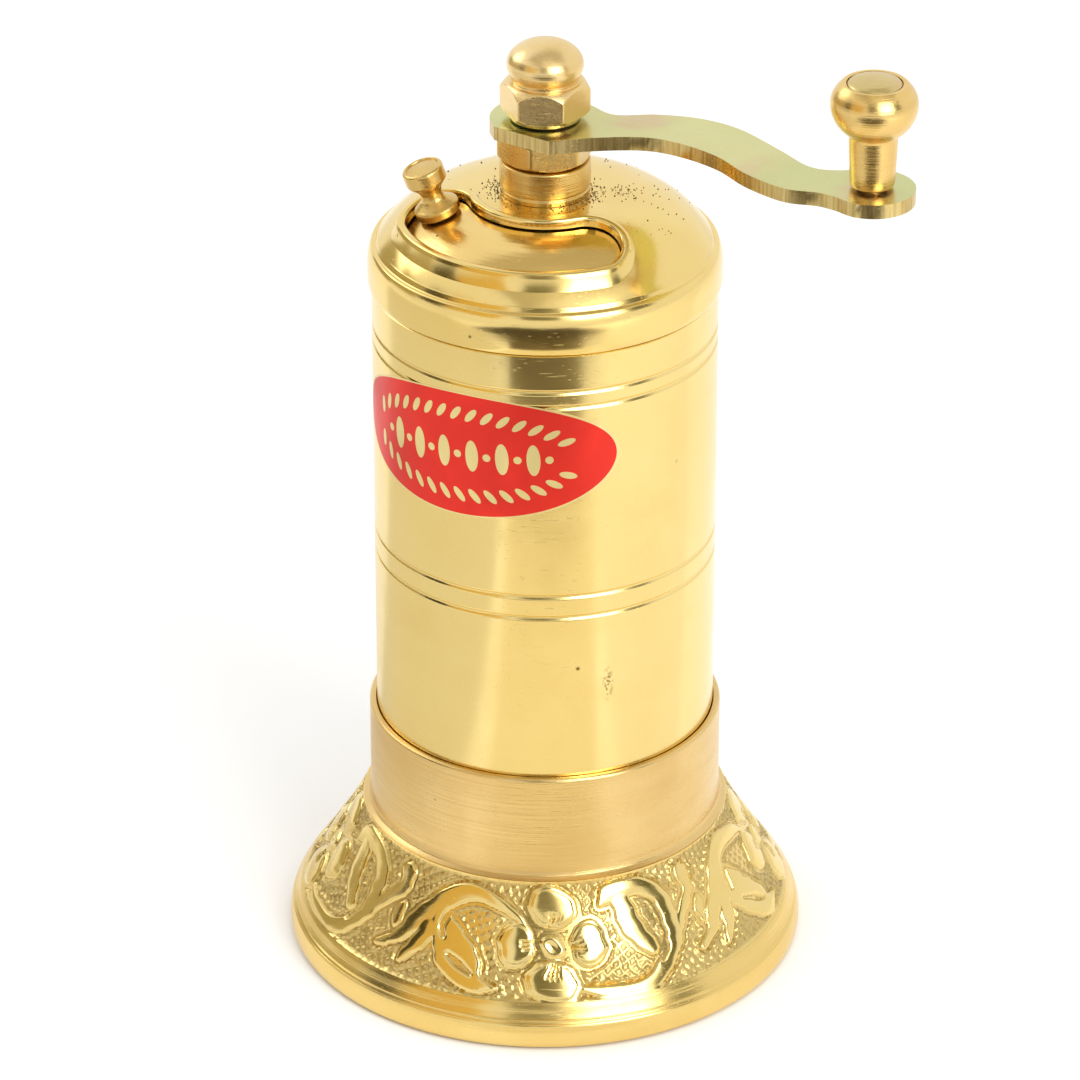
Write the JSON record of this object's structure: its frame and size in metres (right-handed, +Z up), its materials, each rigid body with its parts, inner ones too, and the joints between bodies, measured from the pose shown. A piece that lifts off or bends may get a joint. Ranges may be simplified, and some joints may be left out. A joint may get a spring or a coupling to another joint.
{
  "type": "pepper mill",
  "caption": "Hand-cranked brass pepper mill with an engraved bell-shaped receiver, a lift-off cylindrical body, a domed cap with a swivelling fill door, and an S-shaped crank arm.",
  "frame": {"origin": "on the mill's axis, in the plane of the flat foot that it stands on", "axes": "+Z up along the mill's axis; +X towards the side the crank arm points to in the stored pose; -Y towards the side the fill door faces"},
  "size_m": [0.0989, 0.0848, 0.1632],
  "materials": {
    "polished_brass": "polished, lightly worn",
    "satin_brass": "lathe-turned satin",
    "engraved_brass": "hand engraved, then buffed",
    "plated_steel": "zinc plated, passivated yellow",
    "bright_steel": "machined",
    "cast_iron": "as cast, ground teeth"
  },
  "bodies": {
    "base": {"base_bell": "engraved_brass", "base_floor": "satin_brass", "collar_band": "satin_brass"},
    "mill": {"body_tube": "polished_brass", "top_cap": "polished_brass", "cap_collar": "satin_brass", "door_washer": "bright_steel", "door_retainer": "satin_brass", "outer_burr": "cast_iron", "grind_spring": "bright_steel", "burr_carrier": "satin_brass", "shaft_guide": "bright_steel", "lower_bridge": "bright_steel", "guide_screw_1": "bright_steel", "guide_screw_2": "bright_steel", "bridge_screw_1": "bright_steel", "bridge_screw_2": "bright_steel"},
    "door": {"door_plate": "satin_brass", "door_knob": "satin_brass", "door_rivet_washer": "satin_brass"},
    "lift": {"thrust_ball": "bright_steel"},
    "adjuster": {"adjuster_screw": "satin_brass"},
    "crank": {"drive_shaft": "bright_steel", "inner_burr": "cast_iron", "lock_nut": "satin_brass", "crank_arm": "plated_steel", "crank_washer": "plated_steel", "acorn_nut": "satin_brass", "knob_pin": "satin_brass"},
    "knob": {"crank_knob": "satin_brass"}
  },
  "joints": [
    {"name": "mill_lift_off", "type": "slide", "parent": "base", "child": "mill", "axis": [0, 0, 1], "range_m": [0, 0.03]},
    {"name": "door_swing", "type": "hinge", "parent": "mill", "child": "door", "pos_m": [0, 0, 0.131], "axis": [0, 0, 1], "range_deg": [0, 105]},
    {"name": "grind_setting", "type": "slide", "parent": "mill", "child": "lift", "axis": [0, 0, 1], "range_m": [0, 0.0005], "deforming": ["grind_spring"]},
    {"name": "adjuster_turn", "type": "hinge", "parent": "lift", "child": "adjuster", "pos_m": [0, 0, 0.03], "axis": [0, 0, 1], "range_deg": [0, 181]},
    {"name": "crank_turn", "type": "hinge", "parent": "lift", "child": "crank", "pos_m": [0, 0, 0.144], "axis": [0, 0, 1], "continuous": true},
    {"name": "knob_spin", "type": "hinge", "parent": "crank", "child": "knob", "pos_m": [0.04976, -0.02612, 0.154], "axis": [0, 0, 1], "continuous": true}
  ],
  "couplings": [
    {"joint": "adjuster_turn", "follows": "grind_setting", "rad_per_m": 6283.2}
  ]
}
